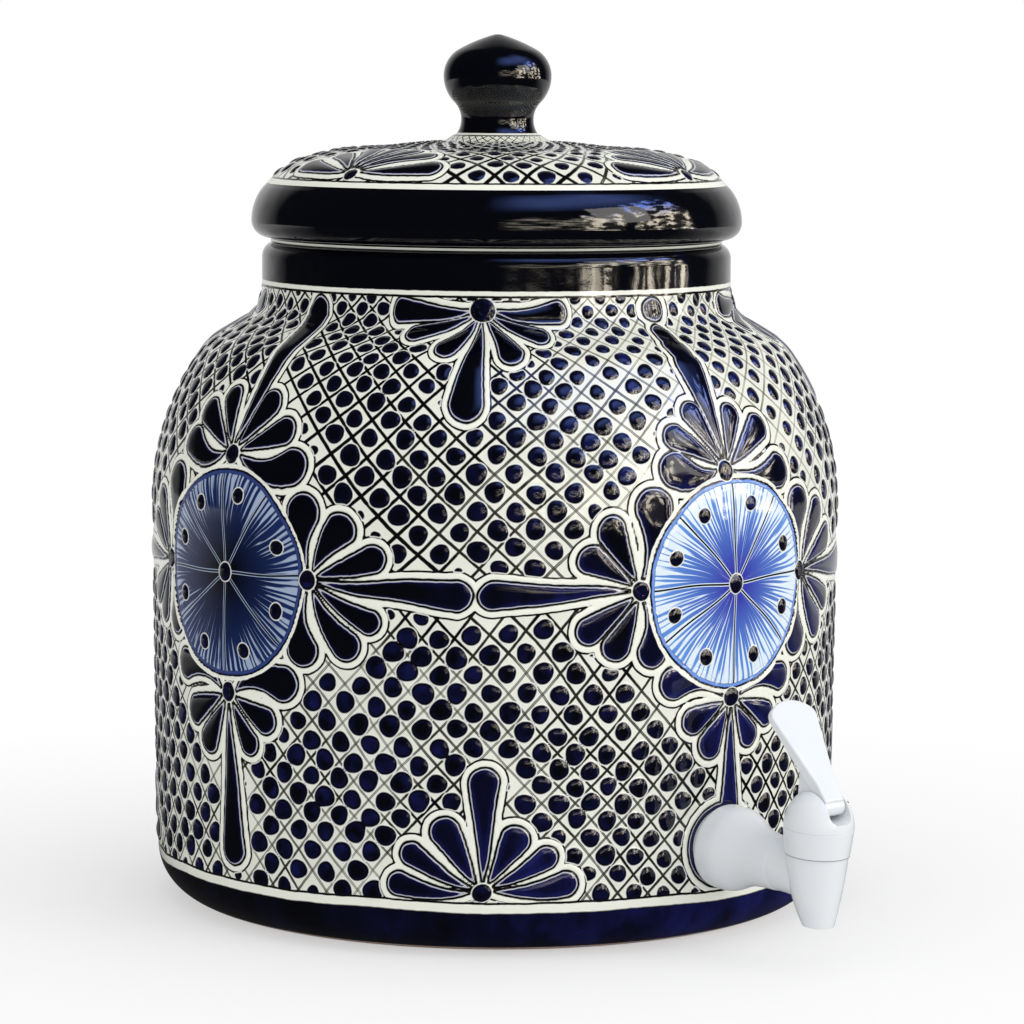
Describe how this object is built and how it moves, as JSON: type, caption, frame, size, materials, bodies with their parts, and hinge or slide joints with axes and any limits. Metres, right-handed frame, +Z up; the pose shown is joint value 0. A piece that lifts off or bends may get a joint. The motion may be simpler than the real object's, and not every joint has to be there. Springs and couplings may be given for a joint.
{
  "type": "clay water pot with tap",
  "caption": "Wide glazed clay water pot with a lift-off domed lid, an onion-shaped knob and a push-lever tap low on its side.",
  "frame": {"origin": "centre of the foot ring that the pot stands on, on the pot's axis", "axes": "+Z up along the pot's axis; the tap points along -Y; +X is to the right seen from the tap's side"},
  "size_m": [0.3111, 0.3846, 0.3908],
  "materials": {
    "pot_glaze": "glossy fired glaze with a hand-painted pattern",
    "lid_glaze": "glossy fired glaze with a hand-painted pattern",
    "tap_plastic": "glossy moulded white plastic",
    "bonnet_plastic": "glossy moulded white plastic",
    "lever_plastic": "glossy moulded white plastic",
    "stem_plastic": "moulded natural white plastic",
    "nut_plastic": "moulded white plastic",
    "pin_steel": "drawn stainless steel",
    "spring_steel": "drawn stainless steel wire",
    "cup_silicone": "soft milky silicone",
    "gasket_rubber": "soft white rubber"
  },
  "bodies": {
    "pot": {"pot_body": "pot_glaze", "outer_gasket": "gasket_rubber", "tap_body": "tap_plastic", "tap_bonnet": "bonnet_plastic", "pivot_pin": "pin_steel", "inner_gasket": "gasket_rubber", "backing_washer": "nut_plastic", "shank_nut": "nut_plastic"},
    "lid": {"lid": "lid_glaze"},
    "lever": {"tap_lever": "lever_plastic", "link_pin": "pin_steel"},
    "stem": {"valve_stem": "stem_plastic", "seat_cup": "cup_silicone", "return_spring": "spring_steel"}
  },
  "joints": [
    {"name": "lid_lift", "type": "slide", "parent": "pot", "child": "lid", "axis": [0, 0, 1], "range_m": [0, 0.06]},
    {"name": "lever_pull", "type": "hinge", "parent": "pot", "child": "lever", "pos_m": [0, -0.22024, 0.06946], "axis": [1, 0, 0], "range_deg": [0, 44], "stiffness_Nm_per_rad": 0.25, "springref_deg": -34.38},
    {"name": "stem_lift", "type": "slide", "parent": "pot", "child": "stem", "axis": [0, -0.0698, 0.9976], "range_m": [0, 0.0046], "deforming": ["return_spring", "seat_cup"]}
  ],
  "couplings": [
    {"joint": "stem_lift", "follows": "lever_pull", "m_per_rad": 0.0058536}
  ]
}
